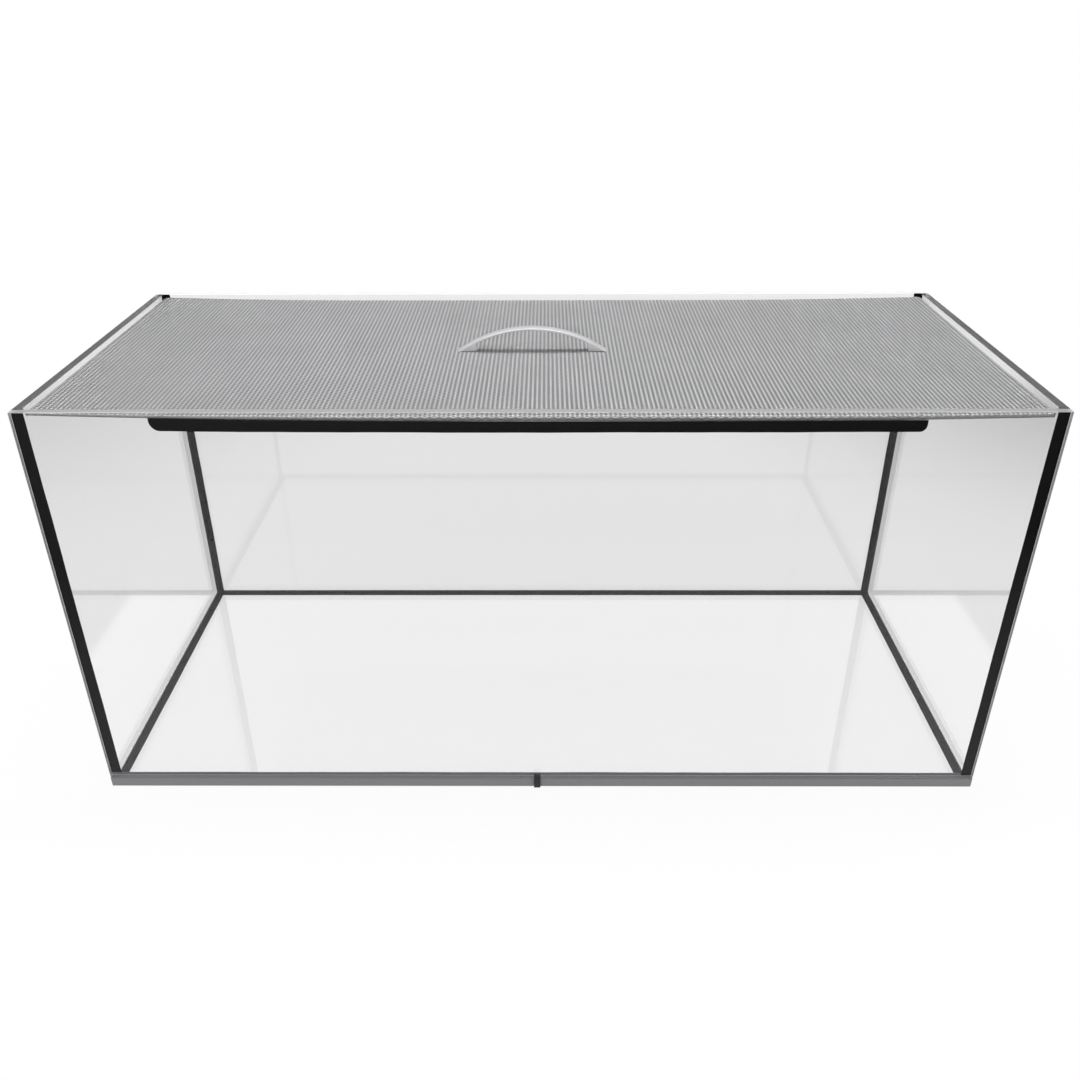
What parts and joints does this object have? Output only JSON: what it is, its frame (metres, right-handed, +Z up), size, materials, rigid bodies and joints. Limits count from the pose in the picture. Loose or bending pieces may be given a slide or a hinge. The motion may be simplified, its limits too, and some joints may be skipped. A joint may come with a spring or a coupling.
{
  "type": "glass small-animal tank",
  "caption": "Long rimless glass tank for gerbils or small pets, with black silicone seams and a loose recessed lid of expanded metal with a bow handle.",
  "frame": {"origin": "middle of the base pane's underside, on the table", "axes": "+X to the right along the long front, +Y from the front to the back, +Z up; the edge strip and its cap are on the -Y side"},
  "size_m": [0.9, 0.4025, 0.427],
  "materials": {
    "clear_glass": "polished faces, ground edges",
    "black_silicone": "smooth, slightly glossy silicone",
    "grey_silicone": "smooth silicone",
    "grey_strip": "matte",
    "black_plastic": "matte",
    "expanded_aluminium": "bare mill finish",
    "satin_aluminium": "satin",
    "screw_steel": "bright zinc"
  },
  "bodies": {
    "tank": {"base_pane": "clear_glass", "front_pane": "clear_glass", "back_pane": "clear_glass", "left_pane": "clear_glass", "right_pane": "clear_glass", "front_brace": "clear_glass", "back_brace": "clear_glass", "seam_front_left": "black_silicone", "seam_front_right": "black_silicone", "seam_back_left": "black_silicone", "seam_back_right": "black_silicone", "seam_base_back": "black_silicone", "seam_base_left": "black_silicone", "seam_base_right": "black_silicone", "front_brace_bond": "black_silicone", "back_brace_bond": "black_silicone", "seam_base_front": "grey_silicone", "edge_strip_left": "grey_strip", "edge_strip_right": "grey_strip", "edge_strip_cap": "black_plastic"},
    "lid": {"lid_mesh": "expanded_aluminium", "lid_handle": "satin_aluminium", "handle_screws": "screw_steel", "handle_washers": "screw_steel"}
  },
  "joints": [
    {"name": "lid_lift", "type": "slide", "parent": "tank", "child": "lid", "axis": [0, 0, 1], "range_m": [0, 0.2]}
  ]
}
